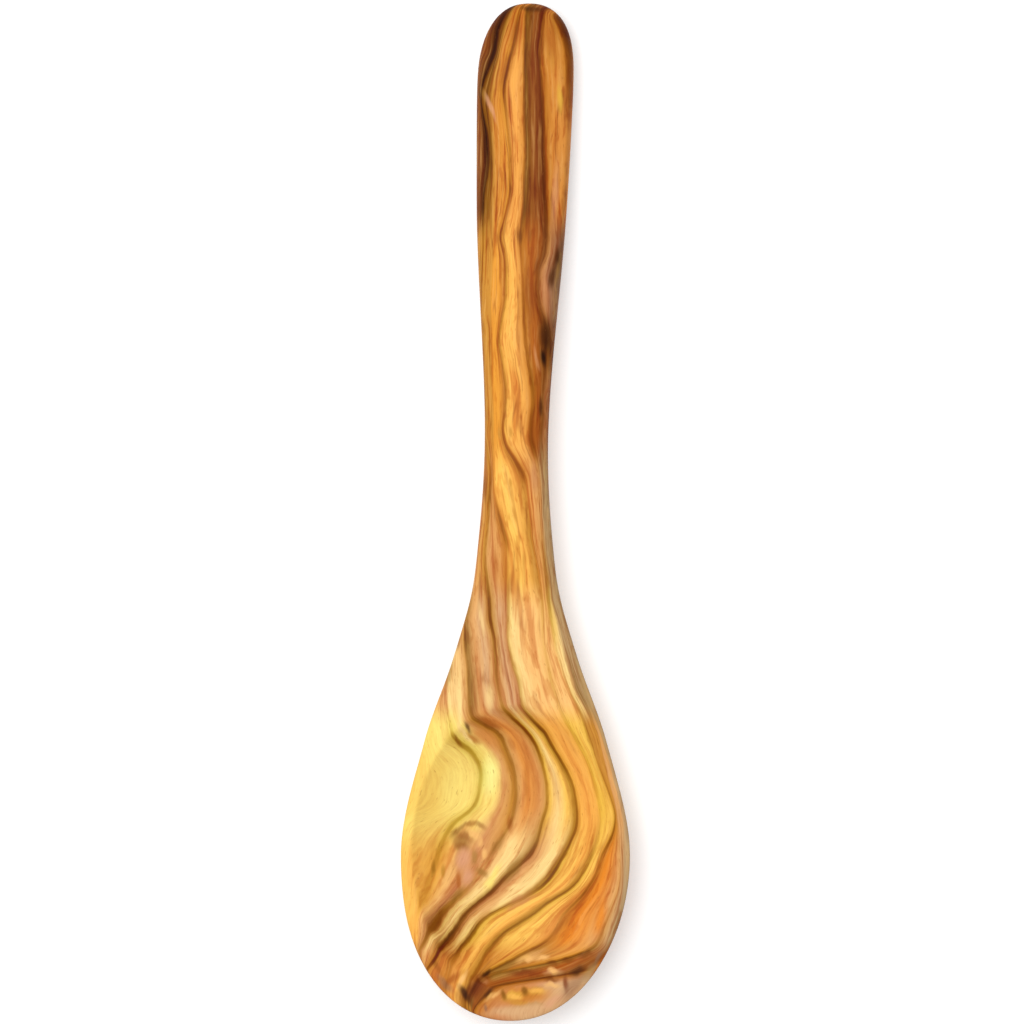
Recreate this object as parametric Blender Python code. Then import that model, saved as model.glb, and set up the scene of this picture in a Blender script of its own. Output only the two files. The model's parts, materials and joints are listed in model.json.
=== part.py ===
"""One-piece olive wood cooking spatula, hollowed like a spoon, lying on a table with its hollow up.

The whole tool is carved from one billet, so it is one solid: a dished head, a neck and a handle that
share one skin. The skin is a loft between unlike sections, flat-topped over the head and nearly round
in the handle. The head's underside is sanded to a small flat, and the tool rests on that flat and on
the underside of its grip.

Frame: metres, +Z up from the table, +Y from the head to the handle, origin under the middle of the tool.
Run it with blender --background --python part.py, or from Blender's text editor.
"""

import math

import bmesh
import bpy
import numpy as np

MM = 0.001

# Lengths along the tool, each one measured on from the one before it, starting at the tip
TIP_TO_WIDEST = 49.0 * MM
WIDEST_TO_SHOULDER = 34.0 * MM
SHOULDER_TO_THROAT = 24.0 * MM
THROAT_TO_NECK = 25.0 * MM
NECK_TO_WAIST = 37.0 * MM
WAIST_TO_SWELL = 72.0 * MM
SWELL_TO_GRIP = 37.0 * MM
GRIP_TO_END = 22.0 * MM

# Full widths at those stations
HEAD_WIDTH = 67.8 * MM
SHOULDER_WIDTH = 53.6 * MM
THROAT_WIDTH = 36.8 * MM
NECK_WIDTH = 24.0 * MM
WAIST_WIDTH = 18.9 * MM
SWELL_WIDTH = 27.0 * MM
GRIP_WIDTH = 28.7 * MM

# How far the centre line strays, as on any hand-cut tool: the tip to -X, and the grip and its end to +X
TIP_LEAN = 1.5 * MM
GRIP_LEAN = 3.0 * MM
END_LEAN = 1.0 * MM

# Heights above the table, and thicknesses from the top line down to the underside
RIM_HEIGHT = 16.5 * MM
WAIST_RISE = 1.6 * MM  # the top of the waist above the rim
SHOULDER_THICKNESS = 14.4 * MM
THROAT_THICKNESS = 12.6 * MM
NECK_THICKNESS = 11.6 * MM
WAIST_THICKNESS = 11.2 * MM
SWELL_THICKNESS = 12.8 * MM
GRIP_THICKNESS = 13.6 * MM
REST_SANDING = 0.45 * MM  # how much of the round belly is sanded away to leave the flat

# The hollow, an oval dish cut into the head
RIM_WIDTH_AT_SIDE = 3.4 * MM
RIM_WIDTH_AT_TIP = 9.5 * MM
HOLLOW_TO_THROAT = 14.0 * MM
FLOOR_THICKNESS = 5.8 * MM
RIM_EASING = 0.7 * MM  # how much of the rim's knife edge is rubbed away

# Roundness of the outlines and sections, as powers of a superellipse: 2 is an ellipse, more is squarer
TIP_POWER = 2.1
END_POWER = 2.35
LIP_CROWN = 2.2 * MM  # the top of the rim above the widest line of the head
LIP_POWER = 6.0
BELLY_POWER = 2.0
HANDLE_POWER = 2.3
DISH_POWER = 3.0  # the dish drops quickly at its rim and flattens to a floor

# Fineness of the skin: points round the head, points between the edge rows of a section, and the
# turns, from level at the edge, at which rows of points follow the edge round
OUTLINE_SAMPLES = 400  # trial points that the even points round the head are spaced along
POINTS_ROUND_HEAD = 77
POINTS_ACROSS = 7
HANDLE_STEP = 5.0 * MM
LIP_ROW_PARTS = (0.4, 0.75, 1.0)
BELLY_TURNS = [math.radians(angle) for angle in (12, 24, 36)]
END_TURNS = [math.radians(angle) for angle in (14, 27, 39, 50, 60, 69, 77, 84)]
DISH_PARTS = (0.14, 0.3, 0.45, 0.59, 0.71, 0.81, 0.89, 0.945)
EASING_OFFSETS = (-1.3, -0.65, 0.0, 0.65, 1.3)
BELLY_RINGS = 7
HALVINGS = 40  # enough to find the edge of the resting flat to far less than a micrometre

WOOD_COLOUR = (0.62, 0.33, 0.10, 1.0)
WOOD_ROUGHNESS = 0.42

# Distances of the stations from the tip
WIDEST_AT = TIP_TO_WIDEST
SHOULDER_AT = WIDEST_AT + WIDEST_TO_SHOULDER
THROAT_AT = SHOULDER_AT + SHOULDER_TO_THROAT
NECK_AT = THROAT_AT + THROAT_TO_NECK
WAIST_AT = NECK_AT + NECK_TO_WAIST
SWELL_AT = WAIST_AT + WAIST_TO_SWELL
GRIP_AT = SWELL_AT + SWELL_TO_GRIP
LENGTH = GRIP_AT + GRIP_TO_END

HOLLOW_END_AT = THROAT_AT - HOLLOW_TO_THROAT
HOLLOW_CENTRE_AT = (RIM_WIDTH_AT_TIP + HOLLOW_END_AT) / 2
HOLLOW_HALF_LENGTH = (HOLLOW_END_AT - RIM_WIDTH_AT_TIP) / 2
HOLLOW_HALF_WIDTH = HEAD_WIDTH / 2 - RIM_WIDTH_AT_SIDE
EASING = min(RIM_EASING, RIM_WIDTH_AT_SIDE / 4)
RIM_CLEARANCE = 2 * EASING  # least distance from the hollow to the last row round the lip
SEAM_AT = (HOLLOW_END_AT + THROAT_AT) / 2  # where the head's skin hands over to the handle's

# The last row round the lip runs half way across the rim, so it stays clear of the hollow
LIP_TURN = math.acos((1.0 - RIM_WIDTH_AT_SIDE / HEAD_WIDTH) ** (LIP_POWER / 2))
LIP_TURNS = [LIP_TURN * part for part in LIP_ROW_PARTS]


class FairLine:
    """A smooth line through a few (distance, value) stations, level at both ends, with no overshoot."""

    def __init__(self, *stations):
        self.at = [distance for distance, _ in stations]
        self.value = [value for _, value in stations]
        rises = [
            (b - a) / (end - start)
            for a, b, start, end in zip(self.value, self.value[1:], self.at, self.at[1:])
        ]
        self.slope = [0.0]
        for before, after in zip(rises, rises[1:]):
            turning = before * after <= 0.0
            self.slope.append(0.0 if turning else 2.0 * before * after / (before + after))
        self.slope.append(0.0)

    def __call__(self, distance):
        if distance <= self.at[0]:
            return self.value[0]
        if distance >= self.at[-1]:
            return self.value[-1]
        i = next(k for k, end in enumerate(self.at[1:]) if distance <= end)
        span = self.at[i + 1] - self.at[i]
        t = (distance - self.at[i]) / span
        return (
            (1 + 2 * t) * (1 - t) ** 2 * self.value[i]
            + t * (1 - t) ** 2 * span * self.slope[i]
            + t * t * (3 - 2 * t) * self.value[i + 1]
            + t * t * (t - 1) * span * self.slope[i + 1]
        )


width_line = FairLine(
    (WIDEST_AT, HEAD_WIDTH),
    (SHOULDER_AT, SHOULDER_WIDTH),
    (THROAT_AT, THROAT_WIDTH),
    (NECK_AT, NECK_WIDTH),
    (WAIST_AT, WAIST_WIDTH),
    (SWELL_AT, SWELL_WIDTH),
    (GRIP_AT, GRIP_WIDTH),
)
lean_line = FairLine(
    (0.0, -TIP_LEAN),
    (WIDEST_AT, 0.0),
    (NECK_AT, 0.0),
    (GRIP_AT, GRIP_LEAN),
    (LENGTH, GRIP_LEAN + END_LEAN),
)
top_line = FairLine(
    (HOLLOW_END_AT, RIM_HEIGHT),
    (WAIST_AT, RIM_HEIGHT + WAIST_RISE),
    (GRIP_AT, GRIP_THICKNESS),
)
thickness_line = FairLine(
    (WIDEST_AT, RIM_HEIGHT + REST_SANDING),
    (SHOULDER_AT, SHOULDER_THICKNESS),
    (THROAT_AT, THROAT_THICKNESS),
    (NECK_AT, NECK_THICKNESS),
    (WAIST_AT, WAIST_THICKNESS),
    (SWELL_AT, SWELL_THICKNESS),
    (GRIP_AT, GRIP_THICKNESS),
)
crown_line = FairLine(
    (SHOULDER_AT, LIP_CROWN),
    (WAIST_AT, WAIST_THICKNESS / 2),
    (SWELL_AT, SWELL_THICKNESS / 2),
    (GRIP_AT, GRIP_THICKNESS / 2),
)
top_power_line = FairLine((SHOULDER_AT, LIP_POWER), (WAIST_AT, HANDLE_POWER))
belly_power_line = FairLine((SHOULDER_AT, BELLY_POWER), (WAIST_AT, HANDLE_POWER))


def superellipse(share, power):
    """Height from 1 in the middle to 0 at the edge, where share goes from 0 to 1."""
    return max(0.0, 1.0 - abs(share) ** power) ** (1.0 / power)


def end_share(along):
    """How far into the rounded tip (0 to 1) or the rounded handle end (0 to 1) a distance lies."""
    if along < WIDEST_AT:
        return (WIDEST_AT - along) / TIP_TO_WIDEST
    return max(0.0, along - GRIP_AT) / GRIP_TO_END


def half_width(along):
    """Half the width of the tool's outline, seen from above."""
    plan_power = TIP_POWER if along < WIDEST_AT else END_POWER
    return width_line(along) / 2 * superellipse(end_share(along), plan_power)


def swelling(across, along, reach, power):
    """How far the skin stands off the widest line, which both sides and both round ends run into."""
    half = half_width(along)
    if half <= 0.0:
        return 0.0
    share = min(1.0, abs(across) / half)
    return reach * superellipse(share, power) * superellipse(end_share(along), power)


def edge_height(along):
    """Height of the widest line, where the top skin and the underside meet."""
    return top_line(along) - crown_line(along)


def blank_top(across, along):
    """Top of the tool before it is hollowed."""
    return edge_height(along) + swelling(across, along, crown_line(along), top_power_line(along))


def round_belly(across, along):
    """Underside before the resting flat is sanded."""
    depth = thickness_line(along) - crown_line(along)
    return edge_height(along) - swelling(across, along, depth, belly_power_line(along))


def underside(across, along):
    """Underside with its resting flat, which lies on the table."""
    return max(0.0, round_belly(across, along))


def head_outline():
    """Evenly spaced points of the head's outline, from the seam's +X end round the tip to its -X end."""
    distances = [SEAM_AT * share**2 for share in np.linspace(1.0, 0.0, OUTLINE_SAMPLES)]
    right = [(half_width(along), along) for along in distances]
    left = [(-across, along) for across, along in reversed(right[:-1])]
    across, along = np.array(right + left).T
    lengths = np.concatenate([[0.0], np.cumsum(np.hypot(np.diff(across), np.diff(along)))])
    even = np.linspace(0.0, lengths[-1], POINTS_ROUND_HEAD)
    even_across = np.interp(even, lengths, across)
    even_along = np.interp(even, lengths, along)
    return list(zip(even_across.tolist(), even_along.tolist()))


def row_share(turn, power):
    """Share of the half width at which a section of this power has turned from its edge by this much."""
    return math.cos(turn) ** (2.0 / power)


def drawn_in(across, along, share):
    """A point of the head's outline drawn in to a share of its width and, in the tip, of its length."""
    if along < WIDEST_AT:
        along = WIDEST_AT - (WIDEST_AT - along) * share
    return across * share, along


def inner_places(along, turns, power):
    """Places across a section between its two innermost edge rows, from +X to -X."""
    reach = half_width(along) * row_share(turns[-1], power)
    steps = POINTS_ACROSS + 1
    return [reach * (1.0 - 2.0 * k / steps) for k in range(1, steps)]


def section_places(along, turns, power):
    """Places across a whole section, from its first edge row on +X to the one on -X."""
    right = [half_width(along) * row_share(turn, power) for turn in turns]
    left = [-across for across in reversed(right)]
    return right + inner_places(along, turns, power) + left


def place(bm, across, along, height):
    """A point of the skin: its distances off the leaning centre line and from the tip, and its height."""
    return bm.verts.new((lean_line(along) + across, along - LENGTH / 2, height))


def skin(bm, rings, closed=True):
    """Quads between neighbouring rings, or between neighbouring rows that don't close."""
    for inner, outer in zip(rings, rings[1:]):
        for k in range(0 if closed else 1, len(inner)):
            bm.faces.new((inner[k - 1], inner[k], outer[k], outer[k - 1]))


def fan(bm, pole, ring):
    """Triangles from a pole to the closed ring round it."""
    for k in range(len(ring)):
        bm.faces.new((pole, ring[k - 1], ring[k]))


def add_edge_rows(bm, edge, outline, turns, power_line, height):
    """Rows that follow the head's edge round from side to side, the edge first and the innermost last."""
    rows = [edge]
    for turn in turns:
        points = [drawn_in(*point, row_share(turn, power_line(point[1]))) for point in outline]
        rows.append([place(bm, *point, height(*point)) for point in points])
    skin(bm, rows, closed=False)
    return rows


def add_seam(bm, turns, power_line, height):
    """The seam's own points, from +X to -X, between the ends of the innermost edge rows."""
    places = inner_places(SEAM_AT, turns, power_line(SEAM_AT))
    return [place(bm, across, SEAM_AT, height(across, SEAM_AT)) for across in places]


class Ray:
    """A level line from a pole to a point of the skin; share 0 is the pole and share 1 is the point."""

    def __init__(self, pole, vertex):
        along = vertex.co.y + LENGTH / 2
        across = vertex.co.x - lean_line(along)
        self.start = pole
        self.run = (across - pole[0], along - pole[1])
        self.reach = math.hypot(*self.run)

    def at(self, share):
        return self.start[0] + self.run[0] * share, self.start[1] + self.run[1] * share


def rim_share(ray):
    """Where a ray from the hollow's centre meets the rim: on an oval, and never over the lip's last row."""
    oval = 1.0 / math.hypot(ray.run[0] / HOLLOW_HALF_WIDTH, ray.run[1] / HOLLOW_HALF_LENGTH)
    return min(oval, 1.0 - RIM_CLEARANCE / ray.reach)


def hollow_height(ray, rim, share):
    """Top of the head along a ray: the lower of blank and dish, with the edge between them rubbed round."""
    blank = blank_top(*ray.at(share))
    rim_height = blank_top(*ray.at(rim))
    dish = FLOOR_THICKNESS + (rim_height - FLOOR_THICKNESS) * (share / rim) ** DISH_POWER
    rubbed = max(0.0, 1.0 - abs(blank - dish) / EASING)
    return min(blank, dish) - EASING / 4 * rubbed**2


def hollow_shares(ray, rim):
    """Shares of a ray at which it has points: down the dish, over the eased rim and half way to the lip."""
    dish = [rim * part for part in DISH_PARTS]
    eased = [rim + offset * EASING / ray.reach for offset in EASING_OFFSETS]
    return dish + eased + [(eased[-1] + 1.0) / 2]


def add_hollow(bm, lip):
    """The dish, its eased rim and the deck round it, inside the closed ring of the lip."""
    pole = (0.0, HOLLOW_CENTRE_AT)
    spokes = []
    for vertex in lip:
        ray = Ray(pole, vertex)
        rim = rim_share(ray)
        shares = hollow_shares(ray, rim)
        spokes.append([place(bm, *ray.at(share), hollow_height(ray, rim, share)) for share in shares])
    rings = [list(ring) for ring in zip(*spokes)]
    fan(bm, place(bm, *pole, FLOOR_THICKNESS), rings[0])
    skin(bm, rings + [lip])


def flat_share(ray):
    """Where the round belly rises through the table along a ray, by halving."""
    low, high = 0.0, 1.0
    for _ in range(HALVINGS):
        middle = (low + high) / 2
        if round_belly(*ray.at(middle)) < 0.0:
            low = middle
        else:
            high = middle
    return low


def add_belly(bm, bilge):
    """The belly and its resting flat, inside the closed ring of the bilge."""
    pole = (0.0, WIDEST_AT)
    spokes = []
    for vertex in bilge:
        ray = Ray(pole, vertex)
        flat = flat_share(ray)
        shares = [flat + (1.0 - flat) * k / BELLY_RINGS for k in range(BELLY_RINGS)]
        spokes.append([place(bm, *ray.at(share), underside(*ray.at(share))) for share in shares])
    rings = [list(ring) for ring in zip(*spokes)]
    fan(bm, place(bm, *pole, underside(*pole)), rings[0])
    skin(bm, rings + [bilge])


def handle_ring(bm, along):
    """One section of the handle: its +X edge, its top, its -X edge and its underside."""
    half = half_width(along)
    height = edge_height(along)
    top = section_places(along, LIP_TURNS, top_power_line(along))
    under = section_places(along, BELLY_TURNS, belly_power_line(along))
    return [
        place(bm, half, along, height),
        *[place(bm, across, along, blank_top(across, along)) for across in top],
        place(bm, -half, along, height),
        *[place(bm, across, along, underside(across, along)) for across in reversed(under)],
    ]


def add_handle(bm, mouth):
    """Sections from the head's mouth to the rounded end, closed by a pole."""
    steps = math.ceil((GRIP_AT - SEAM_AT) / HANDLE_STEP)
    stations = [SEAM_AT + (GRIP_AT - SEAM_AT) * k / steps for k in range(1, steps + 1)]
    stations += [GRIP_AT + GRIP_TO_END * math.sin(turn) for turn in END_TURNS]
    rings = [mouth] + [handle_ring(bm, along) for along in stations]
    skin(bm, rings)
    fan(bm, place(bm, 0.0, LENGTH, edge_height(LENGTH)), rings[-1])


def carve(bm):
    """The whole skin: top of the head, underside of the head, and the handle on the mouth between them."""
    outline = head_outline()
    edge = [place(bm, across, along, edge_height(along)) for across, along in outline]
    top_rows = add_edge_rows(bm, edge, outline, LIP_TURNS, top_power_line, blank_top)
    under_rows = add_edge_rows(bm, edge, outline, BELLY_TURNS, belly_power_line, underside)
    top_seam = add_seam(bm, LIP_TURNS, top_power_line, blank_top)
    under_seam = add_seam(bm, BELLY_TURNS, belly_power_line, underside)
    add_hollow(bm, top_rows[-1] + top_seam[::-1])
    add_belly(bm, under_rows[-1] + under_seam[::-1])
    mouth = [row[0] for row in top_rows]
    mouth += top_seam
    mouth += [row[-1] for row in reversed(top_rows)]
    mouth += [row[-1] for row in under_rows[1:]]
    mouth += reversed(under_seam)
    mouth += [row[0] for row in reversed(under_rows[1:])]
    add_handle(bm, mouth)


def wood():
    """Oiled olive wood in its middle tone."""
    material = bpy.data.materials.new("olive_wood")
    material.use_nodes = True
    shader = material.node_tree.nodes["Principled BSDF"]
    shader.inputs["Base Color"].default_value = WOOD_COLOUR
    shader.inputs["Roughness"].default_value = WOOD_ROUGHNESS
    shader.inputs["Metallic"].default_value = 0.0
    material.diffuse_color = WOOD_COLOUR
    return material


def main():
    for old in list(bpy.data.objects):
        bpy.data.objects.remove(old, do_unlink=True)
    collection = bpy.data.collections.new("wooden_spatula")
    bpy.context.scene.collection.children.link(collection)

    bm = bmesh.new()
    carve(bm)
    bmesh.ops.recalc_face_normals(bm, faces=bm.faces)
    mesh = bpy.data.meshes.new("carved_spatula")
    bm.to_mesh(mesh)
    bm.free()
    mesh.shade_smooth()
    mesh.materials.append(wood())
    collection.objects.link(bpy.data.objects.new("carved_spatula", mesh))


main()
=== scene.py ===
# %% [markdown]
# # A carved olive wood spatula
#
# The object is one piece of olive wood: an oval head hollowed like a spoon, a slim neck and a handle that
# swells to a rounded grip. It lies on a white table and is seen from straight above.
#
# This lesson keeps the shape that was made in CAD and spends its effort on the wood. Olive wood is known
# by its dark, wandering veins, so they are drawn one by one and then run down into the solid, so that the
# sides and the underside show the same layers.

import json
import math

import bmesh
import bpy
import numpy as np
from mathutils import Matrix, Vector
from mathutils.bvhtree import BVHTree

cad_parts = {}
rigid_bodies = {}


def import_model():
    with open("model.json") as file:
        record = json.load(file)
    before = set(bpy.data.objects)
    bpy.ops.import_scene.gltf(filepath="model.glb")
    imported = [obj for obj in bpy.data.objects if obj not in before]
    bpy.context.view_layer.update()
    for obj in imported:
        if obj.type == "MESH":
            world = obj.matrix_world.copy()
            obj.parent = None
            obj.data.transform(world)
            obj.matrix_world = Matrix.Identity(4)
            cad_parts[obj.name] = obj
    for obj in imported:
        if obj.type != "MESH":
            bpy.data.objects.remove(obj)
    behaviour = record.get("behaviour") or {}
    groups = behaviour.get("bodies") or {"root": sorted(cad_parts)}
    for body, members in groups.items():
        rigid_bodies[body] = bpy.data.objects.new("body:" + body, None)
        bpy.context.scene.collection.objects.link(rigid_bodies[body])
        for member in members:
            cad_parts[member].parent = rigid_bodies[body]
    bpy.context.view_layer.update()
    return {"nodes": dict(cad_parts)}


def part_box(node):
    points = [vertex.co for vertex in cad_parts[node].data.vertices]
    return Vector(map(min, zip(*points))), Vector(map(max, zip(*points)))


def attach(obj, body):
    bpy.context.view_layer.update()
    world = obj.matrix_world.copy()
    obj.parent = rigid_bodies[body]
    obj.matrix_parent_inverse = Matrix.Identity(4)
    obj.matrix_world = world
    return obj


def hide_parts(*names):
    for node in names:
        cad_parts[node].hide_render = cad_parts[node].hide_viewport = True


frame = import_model()
low, high = (Vector(corner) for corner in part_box("carved_spatula"))
print("spatula, lowest and highest corner:", low, high)

# %% [markdown]
# ## Measuring the photograph
#
# The tool is 300 mm long and fills 1020 rows of the picture, so one pixel is 0.294 mm. Rows count down
# from the handle's end to the tip, columns count from left to right. Two small functions turn a row and a
# column into metres, and everything that is drawn on the wood goes through them. All lengths in
# this lesson are in metres.

# %% Rows and columns to metres
METRES_PER_PIXEL = 0.000294
END_ROW = 2
TIP_ROW = 1022
CENTRE_COLUMN = 515.4
PICTURE_PIXELS = 1024


def across_at(column):
    return (column - CENTRE_COLUMN) * METRES_PER_PIXEL


def along_at(row):
    return low.y + (TIP_ROW - row) * METRES_PER_PIXEL


print("handle's end by the photograph:", round(along_at(END_ROW), 4), "by the CAD:", round(high.y, 4))

# %% [markdown]
# ## The camera
#
# The photograph looks straight down. A 300 mm lens from about 2.5 m shows hardly any perspective, as
# the photograph does. The camera is hung over the middle of the picture, not of the tool, and its height
# follows from the width of table that the picture covers.

# %% Hang the camera over the table
LENS = 300.0
SENSOR = 36.0
EDGE_LEVEL = 0.0145  # height of the head's widest line, where the outline is measured

picture_width = PICTURE_PIXELS * METRES_PER_PIXEL
camera_data = bpy.data.cameras.new("camera")
camera_data.lens = LENS
camera_data.sensor_width = SENSOR
camera = bpy.data.objects.new("camera", camera_data)
camera.location = (
    across_at(PICTURE_PIXELS / 2),
    along_at(PICTURE_PIXELS / 2),
    EDGE_LEVEL + picture_width * LENS / SENSOR,
)
bpy.context.scene.collection.objects.link(camera)
bpy.context.scene.camera = camera
print("camera at", camera.location)

# %% [markdown]
# ## The light and the table
#
# A product photograph of this kind is lit by one broad, soft lamp and a bright room. The lamp stands to
# the upper left, so the right edges of the wood go a little grey and a faint shadow lies to the right. The
# wood's outer right layers carry painted shade that greys those edges further.
# Lamp and room together give the level at which a colour renders as it is written. The table is white
# because of its colour, with a little glow for the camera alone, so its shadow stays.

# %% Set up the lamp and the room
LAMP_PLACE = Vector((-0.32, 0.22, 1.1))
LAMP_WIDTH = 0.8
LAMP_WATTS = 9.0
ROOM_STRENGTH = 0.62

lamp_data = bpy.data.lights.new("soft_lamp", "AREA")
lamp_data.energy = LAMP_WATTS
lamp_data.size = LAMP_WIDTH
lamp = bpy.data.objects.new("soft_lamp", lamp_data)
lamp.location = LAMP_PLACE
lamp.rotation_euler = (-LAMP_PLACE).to_track_quat("-Z", "Y").to_euler()
lamp.visible_camera = False
bpy.context.scene.collection.objects.link(lamp)

room = bpy.data.worlds.new("room")
room.use_nodes = True
room_light = room.node_tree.nodes["Background"]
room_light.inputs["Color"].default_value = (1.0, 1.0, 1.0, 1.0)
room_light.inputs["Strength"].default_value = ROOM_STRENGTH
bpy.context.scene.world = room

bpy.context.scene.view_settings.view_transform = "Standard"
print("lamp of", LAMP_WATTS, "W, room of strength", ROOM_STRENGTH)

# %% Lay the table
TABLE_WIDTH = 3.0

half = TABLE_WIDTH / 2
table_mesh = bpy.data.meshes.new("table")
table_mesh.from_pydata(
    [(-half, -half, 0), (half, -half, 0), (half, half, 0), (-half, half, 0)], [], [(0, 1, 2, 3)]
)
table = bpy.data.objects.new("table", table_mesh)
bpy.context.scene.collection.objects.link(table)
print("table laid,", TABLE_WIDTH, "m wide")

# %% Paint the table white
TABLE_TONE = 0.80
TABLE_ROUGHNESS = 0.9
TABLE_GLOW = 0.34

white = bpy.data.materials.new("white_table")
white.use_nodes = True
paint = white.node_tree.nodes["Principled BSDF"]
paint.inputs["Base Color"].default_value = (TABLE_TONE, TABLE_TONE, TABLE_TONE, 1.0)
paint.inputs["Roughness"].default_value = TABLE_ROUGHNESS
paint.inputs["Specular IOR Level"].default_value = 0.0
glow = white.node_tree.nodes.new("ShaderNodeEmission")
glow.inputs["Strength"].default_value = TABLE_GLOW
no_glow = white.node_tree.nodes.new("ShaderNodeEmission")
no_glow.inputs["Strength"].default_value = 0.0
light_path = white.node_tree.nodes.new("ShaderNodeLightPath")
seen = white.node_tree.nodes.new("ShaderNodeMixShader")
sum_up = white.node_tree.nodes.new("ShaderNodeAddShader")
white.node_tree.links.new(light_path.outputs["Is Camera Ray"], seen.inputs[0])
white.node_tree.links.new(no_glow.outputs[0], seen.inputs[1])
white.node_tree.links.new(glow.outputs[0], seen.inputs[2])
white.node_tree.links.new(paint.outputs[0], sum_up.inputs[0])
white.node_tree.links.new(seen.outputs[0], sum_up.inputs[1])
white.node_tree.links.new(sum_up.outputs[0], white.node_tree.nodes["Material Output"].inputs["Surface"])
table_mesh.materials.append(white)
print("table painted, tone", TABLE_TONE)

# %% [markdown]
# ## The carved body
#
# The CAD skin already has the right shape, but it is made of loose triangles. A copy of it is merged into
# one skin and its triangles are paired back into four-sided faces, because a subdivision surface rounds
# four-sided faces evenly and leaves marks where triangles meet.

# %% Merge a copy of the CAD skin
MERGE_DISTANCE = 1e-6
FLATNESS = math.radians(40)

skin = bmesh.new()
skin.from_mesh(frame["nodes"]["carved_spatula"].data)
bmesh.ops.remove_doubles(skin, verts=skin.verts, dist=MERGE_DISTANCE)
bmesh.ops.join_triangles(
    skin,
    faces=skin.faces,
    angle_face_threshold=FLATNESS,
    angle_shape_threshold=FLATNESS,
    cmp_seam=False,
)
bmesh.ops.recalc_face_normals(skin, faces=skin.faces)
wood_surface = BVHTree.FromBMesh(skin)
body_mesh = bpy.data.meshes.new("olive_wood_body")
skin.to_mesh(body_mesh)
quads = sum(1 for face in skin.faces if len(face.verts) == 4)
print("faces:", len(skin.faces), "of which four-sided:", quads)
skin.free()

# %% [markdown]
# ## Hand sanding
#
# A hand-carved spatula is never as even as a turned one. Sandpaper round a thumb leaves shallow
# waves, a tenth of a millimetre deep, that only show in the way light slides over the wood. A Geometry
# Nodes tree first rounds the skin and then presses these waves into it, always inwards, so the tool never
# grows past its CAD size. The flat that it stands on is left alone.

# %% Build the sanding tree
WAVE_DEPTH = 0.00012
WAVE_LENGTH = 0.016
SMOOTHING_LEVEL = 2
FLAT_GUARD = 0.0006


def new_sanding_tree():
    tree = bpy.data.node_groups.new("hand_sanding", "GeometryNodeTree")
    tree.interface.new_socket("Skin", in_out="INPUT", socket_type="NodeSocketGeometry")
    for name in ("Wave Depth", "Wave Length", "Flat Guard"):
        tree.interface.new_socket(name, in_out="INPUT", socket_type="NodeSocketFloat")
    tree.interface.new_socket("Smoothing", in_out="INPUT", socket_type="NodeSocketInt")
    tree.interface.new_socket("Wood", in_out="INPUT", socket_type="NodeSocketMaterial")
    tree.interface.new_socket("Skin", in_out="OUTPUT", socket_type="NodeSocketGeometry")
    return tree


sanding = new_sanding_tree()
print("sanding tree:", [item.name for item in sanding.interface.items_tree])

# %% [markdown]
# A few short helpers keep the node trees readable. `put` adds a node, `feed` wires a socket or sets it
# to a plain value, `maths` does one sum, `fade` makes a soft step and `noise` a noise texture.


# %% Helpers for node trees
def put(tree, kind, **settings):
    node = tree.nodes.new(kind)
    for name, value in settings.items():
        setattr(node, name, value)
    return node


def feed(tree, socket, value):
    if isinstance(value, bpy.types.NodeSocket):
        tree.links.new(value, socket)
    else:
        socket.default_value = value


def maths(tree, operation, *values, clamp=False):
    node = put(tree, "ShaderNodeMath", operation=operation, use_clamp=clamp)
    for socket, value in zip(node.inputs, values):
        feed(tree, socket, value)
    return node.outputs[0]


def vector_maths(tree, operation, *values):
    node = put(tree, "ShaderNodeVectorMath", operation=operation)
    for socket, value in zip(node.inputs, values):
        feed(tree, socket, value)
    return node


print("helpers for nodes, sockets and sums ready")


# %% Helpers for masks and noise
def fade(tree, value, start, end, first=0.0, last=1.0):
    """A smooth step from first to last as the value goes from start to end."""
    node = put(tree, "ShaderNodeMapRange", interpolation_type="SMOOTHSTEP")
    sockets = ("Value", "From Min", "From Max", "To Min", "To Max")
    for name, setting in zip(sockets, (value, start, end, first, last)):
        feed(tree, node.inputs[name], setting)
    return node.outputs[0]


def noise(tree, vector, scale, detail=2.0, roughness=0.5):
    node = put(tree, "ShaderNodeTexNoise")
    feed(tree, node.inputs["Vector"], vector)
    for name, setting in (("Scale", scale), ("Detail", detail), ("Roughness", roughness)):
        feed(tree, node.inputs[name], setting)
    return node.outputs[0]


print("helpers for masks and noise ready")

# %% Wire the sanding tree
source = put(sanding, "NodeGroupInput")
smooth = put(sanding, "GeometryNodeSubdivisionSurface")
feed(sanding, smooth.inputs["Mesh"], source.outputs["Skin"])
feed(sanding, smooth.inputs["Level"], source.outputs["Smoothing"])

place = put(sanding, "GeometryNodeInputPosition").outputs[0]
facing = put(sanding, "GeometryNodeInputNormal").outputs[0]
height = put(sanding, "ShaderNodeSeparateXYZ")
feed(sanding, height.inputs[0], place)
wave_count = maths(sanding, "DIVIDE", 1.0, source.outputs["Wave Length"])
waves = noise(sanding, place, wave_count, detail=1.0)
off_table = fade(sanding, height.outputs["Z"], 0.0, source.outputs["Flat Guard"])
press = maths(sanding, "MULTIPLY", waves, off_table)
press = maths(sanding, "MULTIPLY", press, source.outputs["Wave Depth"])
inwards = vector_maths(sanding, "SCALE", facing)
feed(sanding, inwards.inputs["Scale"], maths(sanding, "MULTIPLY", press, -1.0))

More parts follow.
